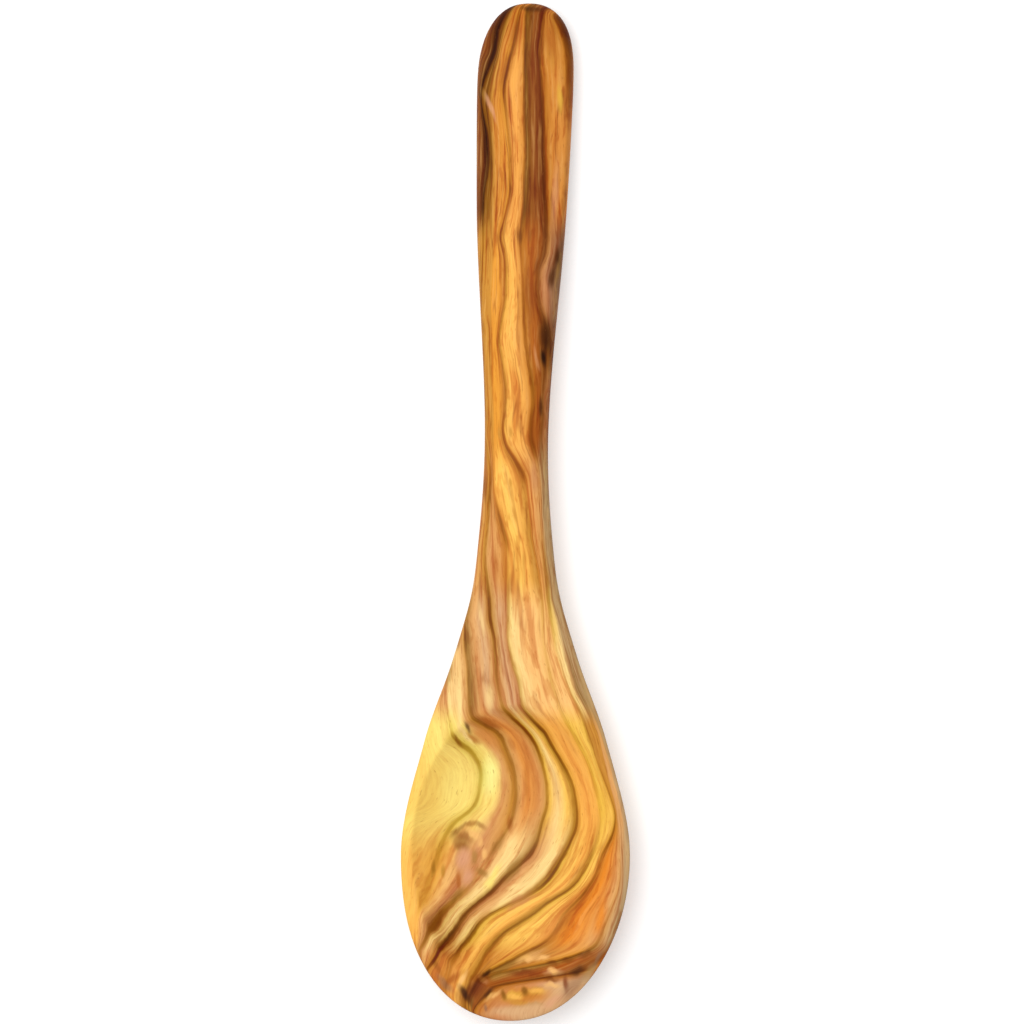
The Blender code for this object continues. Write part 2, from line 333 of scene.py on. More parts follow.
pressed = put(sanding, "GeometryNodeSetPosition")
feed(sanding, pressed.inputs["Geometry"], smooth.outputs[0])
feed(sanding, pressed.inputs["Offset"], inwards.outputs[0])
even = put(sanding, "GeometryNodeSetShadeSmooth")
feed(sanding, even.inputs["Geometry"], pressed.outputs[0])
real = put(sanding, "GeometryNodeRealizeInstances")
feed(sanding, real.inputs[0], even.outputs[0])
dressed = put(sanding, "GeometryNodeSetMaterial")
feed(sanding, dressed.inputs["Geometry"], real.outputs[0])
feed(sanding, dressed.inputs["Material"], source.outputs["Wood"])
result = put(sanding, "NodeGroupOutput")
feed(sanding, result.inputs["Skin"], dressed.outputs[0])
print("sanding tree has", len(sanding.nodes), "nodes")

# %% Sand the body
# A modifier takes each value by the socket's identifier, which isn't the name that people read.
wood = bpy.data.materials.new("oiled_olive_wood")
wood.use_nodes = True

blank = bpy.data.objects.new("blank", body_mesh)
bpy.context.scene.collection.objects.link(blank)
sander = blank.modifiers.new("hand_sanding", "NODES")
sander.node_group = sanding
sizes = {
    "Wave Depth": WAVE_DEPTH,
    "Wave Length": WAVE_LENGTH,
    "Flat Guard": FLAT_GUARD,
    "Smoothing": SMOOTHING_LEVEL,
    "Wood": wood,
}
for item in sanding.interface.items_tree:
    if item.name in sizes:
        sander[item.identifier] = sizes[item.name]

sanded = blank.evaluated_get(bpy.context.evaluated_depsgraph_get())
spatula_mesh = bpy.data.meshes.new_from_object(sanded)
spatula_mesh.name = "olive_wood_spatula"
spatula = bpy.data.objects.new("olive_wood_spatula", spatula_mesh)
bpy.context.scene.collection.objects.link(spatula)
bpy.data.objects.remove(blank)
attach(spatula, "root")
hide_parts("carved_spatula")
print("sanded body:", len(spatula_mesh.polygons), "faces")

# %% [markdown]
# ## How olive wood is built up
#
# A tree grows in layers, and a carved surface cuts through them. Here the layers stand nearly upright in
# the billet and lean over to one side. Each vein is the dark edge between two layers. It is drawn as
# seen from above, as (row, column, darkness) from the handle's end to the tip, and then the solid
# takes it over: the vein is moved along the lean of the layers to the level of the rim, which gives a
# sheet that runs through the whole billet. The hollow, the sides and the underside cut that sheet
# where they meet it.

# %% Draw the sapwood's edge and the knot's vein
# The sapwood's edge enters the hollow from the left shoulder.
SAPWOOD_EDGE = [
    (480, 455, 0.0), (640, 447, 0.0), (700, 446, 0.0), (730, 450, 0.3), (738, 453, 0.75), (745, 461, 0.7),
    (752, 470, 0.65), (760, 476, 0.6), (774, 480, 0.5), (790, 478, 0.4), (806, 474, 0.5), (813, 467, 0.5),
    (818, 457, 0.5), (828, 448, 0.5), (841, 441, 0.45), (853, 437, 0.5), (870, 432, 0.3),
    (905, 420, 0.25), (920, 415, 0.0),
]
# The knot has a vein of its own.
KNOT_VEIN = [
    (12, 480, 0.0), (300, 462, 0.0), (480, 474, 0.0), (560, 470, 0.0), (620, 463, 0.2), (640, 463, 0.7),
    (660, 465, 0.3), (680, 467, 0.45), (713, 469, 0.5), (722, 476, 0.65), (728, 489, 0.65),
    (735, 499, 0.7), (749, 504, 0.5), (765, 511, 0.45), (784, 515, 0.45), (802, 514, 0.5),
    (821, 510, 0.45), (831, 506, 0.4), (842, 497, 0.3), (856, 489, 0.2), (875, 478, 0.1),
    (895, 460, 0.45), (907, 445, 0.7), (918, 436, 0.9), (931, 429, 0.85), (941, 423, 0.7),
    (955, 416, 0.3),
]
print("stations:", len(SAPWOOD_EDGE) + len(KNOT_VEIN))

# %% Draw the strongest vein
# It runs down the handle's left edge, across the neck and right through the hollow.
STRONGEST_VEIN = [
    (8, 508, 0.6), (24, 497, 0.95), (54, 493, 0.9), (78, 483, 0.85), (95, 479, 0.35), (107, 480, 0.65),
    (134, 485, 0.95), (161, 487, 0.9), (190, 483, 0.35), (240, 481, 0.35), (300, 479, 0.3),
    (380, 478, 0.2), (440, 484, 0.2), (470, 490, 0.35), (495, 488, 0.6), (520, 487, 0.35),
    (560, 483, 0.4), (600, 488, 0.8), (620, 489, 0.9), (640, 493, 0.65), (680, 495, 0.5), (704, 500, 0.3),
    (713, 505, 0.85), (724, 518, 0.95), (735, 528, 0.95), (746, 535, 0.85), (760, 540, 0.7),
    (776, 544, 0.55), (791, 546, 0.5), (807, 546, 0.55), (823, 541, 0.65), (843, 536, 0.55),
    (859, 528, 0.5), (870, 514, 0.5), (879, 504, 0.6), (887, 496, 0.65), (896, 487, 0.7),
    (906, 473, 0.55), (913, 465, 0.7), (921, 460, 0.6), (932, 452, 0.75), (946, 440, 1.0),
    (962, 431, 1.0), (975, 422, 0.5),
]
print("stations:", len(STRONGEST_VEIN))

# %% Draw the neighbour of the strongest vein
# It starts as a few dashes in the neck.
NEIGHBOUR_VEIN = [
    (8, 512, 0.0), (50, 499, 0.0), (107, 491, 0.0), (190, 494, 0.0), (300, 489, 0.0), (430, 492, 0.0),
    (480, 492, 0.0), (500, 494, 0.1), (514, 497, 0.5), (530, 501, 0.5), (541, 505, 0.55), (552, 506, 0.1),
    (600, 506, 0.35), (640, 506, 0.3), (664, 511, 0.4), (680, 517, 0.4), (704, 520, 0.3), (713, 525, 0.6),
    (721, 532, 0.75), (729, 540, 0.9), (737, 546, 0.8), (748, 551, 0.75), (759, 558, 0.8),
    (770, 565, 0.7), (784, 571, 0.5), (799, 574, 0.55), (815, 576, 0.6), (830, 575, 0.65),
    (843, 568, 0.6), (852, 565, 0.65), (865, 557, 0.85), (874, 553, 0.9), (888, 541, 0.9),
    (896, 530, 0.4), (907, 508, 0.3), (912, 495, 0.4), (919, 481, 0.7), (927, 475, 0.7), (935, 471, 0.75),
    (943, 464, 0.75), (950, 457, 0.8), (958, 452, 0.4), (985, 444, 0.2),
]
print("stations:", len(NEIGHBOUR_VEIN))

# %% Draw the wandering vein
# This one wanders down the light half of the handle.
WANDERING_VEIN = [
    (8, 519, 0.6), (35, 514, 0.65), (60, 508, 0.8), (85, 502, 0.8), (100, 503, 0.7), (125, 506, 0.45),
    (150, 509, 0.5), (190, 509, 0.5), (215, 504, 0.4), (237, 498, 0.65), (255, 503, 0.4),
    (270, 505, 0.45), (300, 504, 0.4), (320, 500, 0.5), (340, 497, 0.45), (365, 501, 0.4),
    (385, 504, 0.5), (410, 503, 0.35), (430, 501, 0.5), (447, 504, 0.5), (460, 513, 0.6),
    (474, 522, 0.65), (486, 524, 0.15), (510, 527, 0.1), (535, 529, 0.4), (560, 534, 0.3),
    (600, 540, 0.35), (640, 541, 0.15), (680, 549, 0.3), (705, 556, 0.2), (725, 566, 0.3),
    (742, 575, 0.25), (757, 583, 0.2), (775, 590, 0.2), (800, 596, 0.15), (820, 599, 0.15),
    (840, 597, 0.2), (858, 591, 0.25), (873, 583, 0.35), (888, 572, 0.6), (899, 556, 0.6),
    (904, 545, 0.6), (913, 537, 0.55), (918, 529, 0.6), (924, 520, 0.6), (931, 507, 0.6),
    (937, 498, 0.55), (948, 490, 0.55), (956, 482, 0.5), (967, 477, 0.5), (980, 470, 0.5),
    (993, 464, 0.5),
]
print("stations:", len(WANDERING_VEIN))

# %% Draw the heartwood's two edges
# The dark heartwood lies between these two.
HEARTWOOD_LEFT = [
    (8, 524, 0.5), (50, 523, 0.55), (100, 523, 0.55), (150, 524, 0.5), (190, 523, 0.5), (215, 521, 0.4),
    (237, 519, 0.6), (270, 520, 0.3), (310, 522, 0.6), (340, 523, 0.5), (365, 527, 0.6), (385, 530, 0.7),
    (400, 531, 0.5), (435, 528, 0.6), (450, 531, 0.6), (462, 535, 0.2), (480, 536, 0.1), (520, 538, 0.1),
    (560, 542, 0.4), (600, 546, 0.55), (622, 549, 0.4), (650, 553, 0.1), (680, 563, 0.15),
    (713, 579, 0.35), (737, 587, 0.4), (760, 594, 0.15), (777, 601, 0.3), (799, 609, 0.3),
    (815, 614, 0.4), (830, 612, 0.65), (843, 607, 0.75), (855, 600, 0.5), (867, 597, 0.45),
    (880, 592, 0.55), (888, 586, 0.6), (898, 579, 0.65), (907, 570, 0.55), (915, 561, 0.4),
    (930, 554, 0.15), (943, 546, 0.6), (952, 525, 0.65), (960, 511, 0.65), (965, 500, 0.7),
    (970, 488, 0.65), (978, 479, 0.65), (990, 471, 0.7), (1003, 464, 0.4),
]
HEARTWOOD_RIGHT = [
    (8, 543, 0.3), (50, 537, 0.4), (100, 541, 0.6), (150, 541, 0.7), (190, 542, 0.75), (237, 546, 0.5),
    (255, 545, 0.3), (265, 540, 0.25), (290, 537, 0.25), (310, 540, 0.35), (330, 545, 0.5),
    (345, 545, 0.7), (358, 546, 0.8), (380, 545, 0.3), (430, 541, 0.3), (480, 540, 0.1), (520, 541, 0.1),
    (560, 546, 0.1), (600, 551, 0.1), (640, 562, 0.1), (690, 577, 0.3), (713, 588, 0.3), (740, 598, 0.1),
    (760, 603, 0.0), (799, 612, 0.0), (830, 617, 0.0), (867, 618, 0.1), (888, 616, 0.1), (915, 606, 0.2),
    (938, 598, 0.3), (948, 592, 0.45), (953, 584, 0.85), (957, 570, 0.7), (960, 556, 0.6),
    (965, 545, 0.6), (967, 530, 0.5), (968, 512, 0.5), (970, 498, 0.6), (973, 487, 0.6), (980, 475, 0.5),
    (1004, 468, 0.3),
]
print("stations:", len(HEARTWOOD_LEFT) + len(HEARTWOOD_RIGHT))

# %% Draw the edge of the pale layer
# The outermost layer on the right is a pale one.
PALE_LAYER_EDGE = [
    (8, 549, 0.6), (16, 554, 0.8), (31, 562, 0.9), (47, 566, 0.75), (75, 568, 0.6), (100, 567, 0.2),
    (140, 567, 0.1), (190, 565, 0.1), (240, 560, 0.2), (265, 557, 0.5), (290, 555, 0.15), (345, 550, 0.2),
    (390, 548, 0.3), (430, 546, 0.3), (490, 544, 0.1), (540, 547, 0.1), (590, 554, 0.1), (640, 567, 0.1),
    (690, 582, 0.2), (720, 593, 0.2), (740, 601, 0.1), (760, 607, 0.1), (780, 612, 0.0), (800, 617, 0.0),
    (820, 621, 0.0), (840, 623, 0.0), (860, 624, 0.0), (880, 623, 0.0), (900, 621, 0.0), (920, 616, 0.1),
    (940, 609, 0.1), (952, 603, 0.1), (960, 597, 0.3), (966, 590, 0.2), (971, 583, 0.4), (976, 572, 0.85),
    (978, 556, 0.8), (978, 540, 0.5), (979, 525, 0.3), (979, 510, 0.4), (982, 500, 0.5), (988, 492, 0.6),
    (995, 484, 0.5), (1003, 478, 0.4), (1012, 470, 0.2),
]
print("stations:", len(PALE_LAYER_EDGE))

# %% Put the veins in their order from left to right
VEINS = [
    SAPWOOD_EDGE,
    KNOT_VEIN,
    STRONGEST_VEIN,
    NEIGHBOUR_VEIN,
    WANDERING_VEIN,
    HEARTWOOD_LEFT,
    HEARTWOOD_RIGHT,
    PALE_LAYER_EDGE,
]
print("veins:", len(VEINS), "stations:", sum(len(vein) for vein in VEINS))

# %% [markdown]
# Each vein becomes one RGB Curves node, which is three curves in one: red holds its path across the
# billet, green its darkness and blue its half width, all against the distance along the tool. A vein that
# runs at a slant is cut at a slant too, so its half width across the tool grows with the slope. On the
# wood each line has a dark core and a soft brown shade to both sides, as ink has on damp paper.

# %% Sample the veins at even steps
LAYER_LEAN = 0.75  # metres sideways for each metre down
RIM_LEVEL = 0.0165
HALF_SPAN = 0.048  # the curves cover this far to each side of the centre line
WELL_ABOVE = 1.0  # a height from which to look down on the wood
STEP = 0.0015
LINE_HALF_WIDTH = 0.0012
FAINTEST_LINE = 0.6  # share of that width that the faintest lines have
WIDEST_LINE = 0.008
THINNEST_LAYER = 0.0008
LINE_SHIFT = 1.6  # pixels by which the eye had read every line too far to the left

length = high.y - low.y
steps = np.arange(0.0, length + STEP, STEP)
softener = np.array([1.0, 2.0, 1.0]) / 4.0


def top_of_wood(x, y):
    above = wood_surface.ray_cast(Vector((x, y, WELL_ABOVE)), Vector((0.0, 0.0, -1.0)))[0]
    return above.z if above else wood_surface.find_nearest(Vector((x, y, RIM_LEVEL)))[0].z


def soften(values):
    return np.convolve(np.pad(values, 1, mode="edge"), softener, mode="valid")


def sample_vein(stations):
    along = np.array([along_at(row) - low.y for row, _, _ in stations][::-1])
    across = np.array([across_at(column + LINE_SHIFT) for _, column, _ in stations][::-1])
    darkness = np.array([value for _, _, value in stations][::-1])
    seen = soften(np.interp(steps, along, across))
    slope = np.gradient(seen, steps)
    levels = np.array([top_of_wood(x, y + low.y) for x, y in zip(seen, steps)])
    in_billet = seen + LAYER_LEAN * (soften(levels) - RIM_LEVEL)
    dark = soften(np.interp(steps, along, darkness))
    boldness = FAINTEST_LINE + (1.0 - FAINTEST_LINE) * dark
    half_width = LINE_HALF_WIDTH * np.hypot(1.0, slope) * boldness
    return in_billet, dark, np.minimum(half_width, WIDEST_LINE)


sampled = [sample_vein(stations) for stations in VEINS]
gaps = [(b[0] - a[0]).min() for a, b in zip(sampled, sampled[1:])]
print("narrowest gaps between veins as drawn, mm:", [round(gap * 1000, 1) for gap in gaps])
for (left, _, _), (right, _, _) in zip(sampled, sampled[1:]):
    np.maximum(right, left + THINNEST_LAYER, out=right)

# %% [markdown]
# ## Which layer is this?
#
# The first shader group answers that question for any point of the wood. It leans the point into the
# billet's own coordinates, lets it wander a little so that no line is ruler-straight, and then counts how
# many veins lie to its left, with fractions between two veins. That count, the ring, is what the colours
# follow, so every layer keeps its place from the handle's end to the tip. The group also hands out the
# darkness of the veins there, and a second, more ragged wander of the plain place for the small marks.

# %% Start the grain group
WANDER_LENGTH = 0.010
WANDER = 0.0004
TREMBLE_LENGTH = 0.0022
TREMBLE = 0.00028
OUTER_LAYER = 0.006  # thickness of the layers outside the drawn veins


def new_group(name, inputs, outputs):
    tree = bpy.data.node_groups.new(name, "ShaderNodeTree")
    for title, kind in inputs.items():
        tree.interface.new_socket(title, in_out="INPUT", socket_type="NodeSocket" + kind)
    for title, kind in outputs.items():
        tree.interface.new_socket(title, in_out="OUTPUT", socket_type="NodeSocket" + kind)
    return tree, put(tree, "NodeGroupInput").outputs, put(tree, "NodeGroupOutput").inputs


grain, given, told = new_group(
    "grain_place",
    {"Place": "Vector"},
    {"Ring": "Float", "Along": "Float", "Vein": "Float", "Billet": "Vector", "Drifted": "Vector"},
)
print("grain group started")

# %% Lean and wander
DRAWN_OUT = (1.0, 0.3, 1.0)  # the wander is longer along the tool than across it

stretch = vector_maths(grain, "MULTIPLY", given["Place"], DRAWN_OUT).outputs[0]
wander = maths(grain, "SUBTRACT", noise(grain, stretch, 1.0 / WANDER_LENGTH, detail=1.0), 0.5)
tremble = maths(grain, "SUBTRACT", noise(grain, stretch, 1.0 / TREMBLE_LENGTH, detail=2.0), 0.5)
wander = maths(grain, "MULTIPLY", wander, 2 * WANDER)
shift = maths(grain, "ADD", wander, maths(grain, "MULTIPLY", tremble, 2 * TREMBLE))
parts = put(grain, "ShaderNodeSeparateXYZ")
feed(grain, parts.inputs[0], given["Place"])
above_rim = maths(grain, "SUBTRACT", parts.outputs["Z"], RIM_LEVEL)
lean = maths(grain, "MULTIPLY", above_rim, LAYER_LEAN)
drifted_x = maths(grain, "ADD", parts.outputs["X"], shift)
billet_x = maths(grain, "ADD", drifted_x, lean)
from_tip = maths(grain, "SUBTRACT", parts.outputs["Y"], low.y)
share = maths(grain, "DIVIDE", from_tip, length)
print("billet leans", round(math.degrees(math.atan(LAYER_LEAN)), 1), "degrees from upright")


# %% One node for each vein
def fill_curve(curve, values):
    """A new curve has its two end points, and the others are put between, joined by straight lines."""
    for point, at in zip(curve.points, (0.0, 1.0)):
        point.location = (at, values[0] if at == 0.0 else values[-1])
    for at, value in zip(steps[1:-1] / length, values[1:-1]):
        if 0.0 < at < 1.0:
            curve.points.new(at, value)
    for point in curve.points:
        point.handle_type = "VECTOR"


def spread(value, first, last):
    """Turns 0 to 1 into first to last."""
    return maths(grain, "ADD", maths(grain, "MULTIPLY", value, last - first), first)


def vein_node(path, darkness, half_width):
    node = put(grain, "ShaderNodeRGBCurve")
    fill_curve(node.mapping.curves[0], (path + HALF_SPAN) / (2 * HALF_SPAN))
    fill_curve(node.mapping.curves[1], darkness)
    fill_curve(node.mapping.curves[2], half_width / WIDEST_LINE)
    node.mapping.update()
    feed(grain, node.inputs["Color"], share)
    split = put(grain, "ShaderNodeSeparateColor")
    feed(grain, split.inputs[0], node.outputs[0])
    place_across = spread(split.outputs[0], -HALF_SPAN, HALF_SPAN)
    return place_across, split.outputs[1], maths(grain, "MULTIPLY", split.outputs[2], WIDEST_LINE)


vein_sockets = [vein_node(*vein) for vein in sampled]
print("vein nodes:", len(vein_sockets))

# %% Count the rings
ring = 1.0
for (left, _, _), (right, _, _) in zip(vein_sockets, vein_sockets[1:]):
    layer = put(grain, "ShaderNodeMapRange")
    feed(grain, layer.inputs["Value"], billet_x)
    feed(grain, layer.inputs["From Min"], left)
    feed(grain, layer.inputs["From Max"], right)
    ring = maths(grain, "ADD", layer.outputs[0], ring)
beyond_left = maths(grain, "DIVIDE", maths(grain, "SUBTRACT", billet_x, vein_sockets[0][0]), OUTER_LAYER)
beyond_right = maths(grain, "DIVIDE", maths(grain, "SUBTRACT", billet_x, vein_sockets[-1][0]), OUTER_LAYER)
ring = maths(grain, "ADD", ring, maths(grain, "MINIMUM", beyond_left, 0.0))
ring = maths(grain, "ADD", ring, maths(grain, "MAXIMUM", beyond_right, 0.0))
print("layers:", len(vein_sockets) - 1, "and one outside on each side")

# %% Gather the vein lines
CORE_REACH = 0.15  # share of the half width over which a line is darkest
SHADE_REACH = 2.4  # half widths of the line
SHADE_STRENGTH = 0.5

lines = 0.0
for path, darkness, half_width in vein_sockets:
    away = maths(grain, "ABSOLUTE", maths(grain, "SUBTRACT", billet_x, path))
    reach = maths(grain, "DIVIDE", away, half_width)
    core = fade(grain, reach, CORE_REACH, 1.0, 1.0, 0.0)
    shade = fade(grain, reach, 0.0, SHADE_REACH, SHADE_STRENGTH, 0.0)
    line = maths(grain, "MULTIPLY", maths(grain, "MAXIMUM", core, shade), darkness)
    lines = maths(grain, "MAXIMUM", line, lines)
print("lines gathered, each shaded out to", SHADE_REACH, "half widths")

# %% Hand out the grain
RAGGED_LENGTH = 0.0032
RAGGED = 0.0007

billet = put(grain, "ShaderNodeCombineXYZ")
feed(grain, billet.inputs["X"], maths(grain, "MULTIPLY", ring, OUTER_LAYER))
feed(grain, billet.inputs["Y"], from_tip)
feed(grain, billet.inputs["Z"], parts.outputs["Z"])
ragged_x = maths(grain, "SUBTRACT", noise(grain, stretch, 1.0 / RAGGED_LENGTH, detail=2.0), 0.5)
mirrored = vector_maths(grain, "SCALE", stretch)
feed(grain, mirrored.inputs["Scale"], -1.0)
ragged_y = maths(grain, "SUBTRACT", noise(grain, mirrored.outputs[0], 1.0 / RAGGED_LENGTH, detail=2.0), 0.5)
flame_x = maths(grain, "ADD", drifted_x, maths(grain, "MULTIPLY", ragged_x, 2 * RAGGED))
flame_y = maths(grain, "ADD", parts.outputs["Y"], maths(grain, "MULTIPLY", ragged_y, 4 * RAGGED))
drifted = put(grain, "ShaderNodeCombineXYZ")
feed(grain, drifted.inputs["X"], flame_x)
feed(grain, drifted.inputs["Y"], flame_y)
feed(grain, drifted.inputs["Z"], parts.outputs["Z"])
feed(grain, told["Ring"], ring)
feed(grain, told["Along"], share)
feed(grain, told["Vein"], lines)
feed(grain, told["Billet"], billet.outputs[0])
feed(grain, told["Drifted"], drifted.outputs[0])
print("grain group has", len(grain.nodes), "nodes")

# %% [markdown]
# ## The palette
#
# About thirty named tones, written as a paint chart gives them, are all that this wood needs: light
# sapwood ones, honey and orange ones, the browns of the heartwood, and two grey-browns that serve mostly
# as painted shade on the right edges. The render works in linear light, so each is turned from chart
# values into linear ones.


# %% Mix the tones
def tone(red, green, blue):
    chart = [value / 255 for value in (red, green, blue)]
    linear = [v / 12.92 if v <= 0.04045 else ((v + 0.055) / 1.055) ** 2.4 for v in chart]
    return (*linear, 1.0)


TONES = {
    "cream": tone(252, 218, 142),
    "pale": tone(255, 230, 126),
    "lemon": tone(255, 248, 150),
    "sapwood": tone(253, 219, 112),
    "peach": tone(247, 192, 116),
    "straw": tone(250, 200, 92),
    "honey": tone(248, 184, 84),
    "amber": tone(240, 168, 76),
    "apricot": tone(230, 156, 54),
    "gold": tone(239, 190, 74),
    "orange": tone(232, 140, 42),
    "ochre": tone(206, 144, 56),
    "khaki": tone(184, 130, 40),
    "tan": tone(224, 166, 100),
    # A grey-brown that is painted shade: the strip where the right edges turn away from the lamp and meet
    # their shadow.
    "drift": tone(188, 156, 112),
    "buff": tone(218, 172, 122),
    "blush": tone(222, 162, 122),
    "rose": tone(208, 142, 92),
    "sienna": tone(228, 152, 70),
    "terra": tone(214, 142, 70),
    "russet": tone(200, 125, 42),
    "moss": tone(170, 124, 58),
    "rust": tone(176, 96, 30),
    "olive": tone(142, 90, 16),
    # A darker grey-brown, used mostly as painted shade along the right edges of the lower handle and the
    # tip.
    "slate": tone(145, 105, 78),
    "brown": tone(148, 84, 28),
    "chestnut": tone(126, 54, 14),
    "umber": tone(84, 42, 10),
    "ink": tone(48, 20, 2),
    "resin": tone(120, 60, 12),
    "stain": tone(255, 252, 70),
}
print("tones:", ", ".join(TONES))

# %% [markdown]
# ## Tones of the layers
#
# The same layer is not the same tone from end to end: the dark heartwood of the handle comes out as a
# glowing orange in the bowl. Seven stretches of the tool each get a ramp over the rings. Each layer
# is written as a few tones from its left to its right edge, and the stretches blend into each other.
# Each stretch also says how strong its streaks are: they are bold in the handle and faint in the hollow.
# The grey-brown layers along the right edges are painted shade, where the wood turns away from the lamp.

# %% List the tones of the handle and the neck
UPPER_HANDLE = [
    "brown", "ochre brown", "brown umber", "olive olive ochre", "russet apricot", "sienna amber sienna",
    "olive brown chestnut", "russet sienna", "brown",
]
# The lower handle's two grey-brown right layers are painted shade along its right edge.
LOWER_HANDLE = [
    "brown", "ochre brown", "ochre", "ochre", "apricot apricot russet", "honey honey sienna",
    "russet rust brown", "rose slate", "slate",
]
# The neck's grey-brown right layers are painted shade along its right edge.
NECK = [
    "tan", "tan ochre", "tan ochre", "tan russet", "honey straw honey ochre", "sienna tan",
    "tan drift", "drift", "drift",
]
print("layers in each stretch:", len(NECK))

# %% List the tones of the head
# In the shoulder and both bowl stretches the grey-brown right layers are painted shade along the right rim
# and the side below it.
SHOULDER = [
    "honey tan", "cream tan", "moss tan buff tan", "tan buff rose", "cream peach peach", "peach peach",
    "cream cream drift", "drift", "drift",
]
# The bowl's leftmost layer is pale sapwood with painted light on top: it is paler than the wood, to cancel
# the shade that the lamp leaves on the hollow's left wall.
BOWL = [
    "straw sapwood pale", "pale pale tan ochre", "tan sienna terra tan", "straw cream straw khaki",
    "honey amber honey", "gold straw", "ochre", "tan", "drift",
]
LOW_BOWL = [
    "straw straw honey", "honey peach rose tan", "tan cream cream moss", "rose tan cream cream khaki",
    "straw straw honey khaki", "straw straw sienna", "russet orange sienna tan", "tan drift", "drift",
]
TIP = [
    "ochre", "tan sienna", "tan sienna", "sienna russet", "sienna honey ochre", "russet honey",
    "moss amber", "moss rust brown", "russet rose buff",
]
print("layers in each stretch:", len(TIP))

# %% Put the stretches in their order
STRETCHES = [
    # tones of its layers, rows over which it takes over from the stretch before, contrast of its streaks
    (UPPER_HANDLE, None, 0.65),
    (LOWER_HANDLE, (205, 245), 0.6),
    (NECK, (430, 480), 0.55),
    (SHOULDER, (575, 615), 0.5),
    (BOWL, (700, 728), 0.25),
    (LOW_BOWL, (805, 865), 0.5),
    (TIP, (935, 960), 0.5),
]
RING_START = -1.5
RING_END = 10.5
print("stretches:", len(STRETCHES), "over rings", RING_START, "to", RING_END)


# %% Build the ramps
LAYER_EDGE = 0.08


def layer_ramp(tree, factor, layers):
    """One ramp over all rings, with a short blend at each vein between two layers."""
    node = put(tree, "ShaderNodeValToRGB")
    stops = node.color_ramp.elements
    stops.remove(stops[1])
    for count, tones_across in enumerate(layers):
        names = tones_across.split()
        left = RING_START if count == 0 else count + LAYER_EDGE
        right = RING_END if count == len(layers) - 1 else count + 1 - LAYER_EDGE
        if len(names) == 1:
            names = names * 2
        for step, name in enumerate(names):
            ring_at = left + (right - left) * step / (len(names) - 1)
            at = (ring_at - RING_START) / (RING_END - RING_START)
            stop = stops[0] if at == 0.0 else stops.new(at)
            stop.color = TONES[name]
    feed(tree, node.inputs[0], factor)
    return node.outputs["Color"]


def mix_tones(tree, factor, first, second, blend="MIX"):
    """A Mix node keeps its two colour inputs at 6 and 7 and their mix at output 2."""
    node = put(tree, "ShaderNodeMix", data_type="RGBA", blend_type=blend, clamp_factor=True)
    feed(tree, node.inputs[0], factor)
    feed(tree, node.inputs[6], first)
    feed(tree, node.inputs[7], second)
    return node.outputs[2]


def along_share(row):
    return (along_at(row) - low.y) / length


def fade_between(tree, turn, first, last):
    """The first value where the turn is 0, the last where it is 1, and a mix between."""
    kept = maths(tree, "MULTIPLY", first, maths(tree, "SUBTRACT", 1.0, turn))
    return maths(tree, "ADD", kept, maths(tree, "MULTIPLY", turn, last))


print("ramp helpers ready, layers reach to", LAYER_EDGE, "of a ring from their edges")

# %% Blend the stretches
CALM = 0.3  # share of the streaks that the outermost layers keep
CALM_LEFT = (0.2, 1.0)  # rings over which the streaks come in from the left
CALM_RIGHT = (8.0, 8.8)  # and die out to the right

tones, given, told = new_group(
    "layer_tones", {"Ring": "Float", "Along": "Float"}, {"Tone": "Color", "Streaks": "Float"}
)
past_start = maths(tones, "SUBTRACT", given["Ring"], RING_START)
factor = maths(tones, "DIVIDE", past_start, RING_END - RING_START, clamp=True)
blended = layer_ramp(tones, factor, STRETCHES[0][0])
streaks = STRETCHES[0][2]
for layers, (first_row, last_row), contrast in STRETCHES[1:]:
    turn = fade(tones, given["Along"], along_share(first_row), along_share(last_row))
    blended = mix_tones(tones, turn, blended, layer_ramp(tones, factor, layers))
    streaks = fade_between(tones, turn, streaks, contrast)
calm_left = fade(tones, given["Ring"], *CALM_LEFT, CALM, 1.0)
calm_right = fade(tones, given["Ring"], *CALM_RIGHT, 1.0, CALM)
streaks = maths(tones, "MULTIPLY", streaks, maths(tones, "MULTIPLY", calm_left, calm_right))
feed(tones, told["Tone"], blended)
feed(tones, told["Streaks"], streaks)
print("layer tones group has", len(tones.nodes), "nodes")

# %% [markdown]
# ## Streaks, lines, fibres and pores
#
# Between the veins, wood is never one flat tone. Broad streaks and a few thin lines run beside the veins,
# finer fibres run with them, and the pores show as short dark dashes. All of them are noise that is drawn
# out along the grain, and because it reads the ring instead of the plain width, it bends with the veins. A
# thin line is where a noise passes its middle value, and a second noise breaks it into pieces.

# %% Build the fibre group
STREAK_WIDTH = 0.0011
STREAK_REACH = 0.022
FLECK_WIDTH = 0.0010
FLECK_REACH = 0.006
LINE_SPACING = 0.0026
LINE_REACH = 0.045
FIBRE_WIDTH = 0.0004
FIBRE_REACH = 0.006
PORE_WIDTH = 0.00025
PORE_REACH = 0.0022
DEPTH_SHARE = 0.1  # the noise changes this much slower down into the wood

fibres, given, told = new_group(
    "wood_fibres",
    {"Billet": "Vector"},
    {"Streaks": "Float", "Flecks": "Float", "Lines": "Float", "Fibres": "Float", "Pores": "Float"},
)


def along_grain(width, reach, start=0.0):
    per_metre = (1.0 / width, 1.0 / reach, DEPTH_SHARE / width)
    scaled = vector_maths(fibres, "MULTIPLY", given["Billet"], per_metre)
    return vector_maths(fibres, "ADD", scaled.outputs[0], (start, start, start)).outputs[0]


print("noise is drawn out along the grain", round(STREAK_REACH / STREAK_WIDTH), "times for streaks")

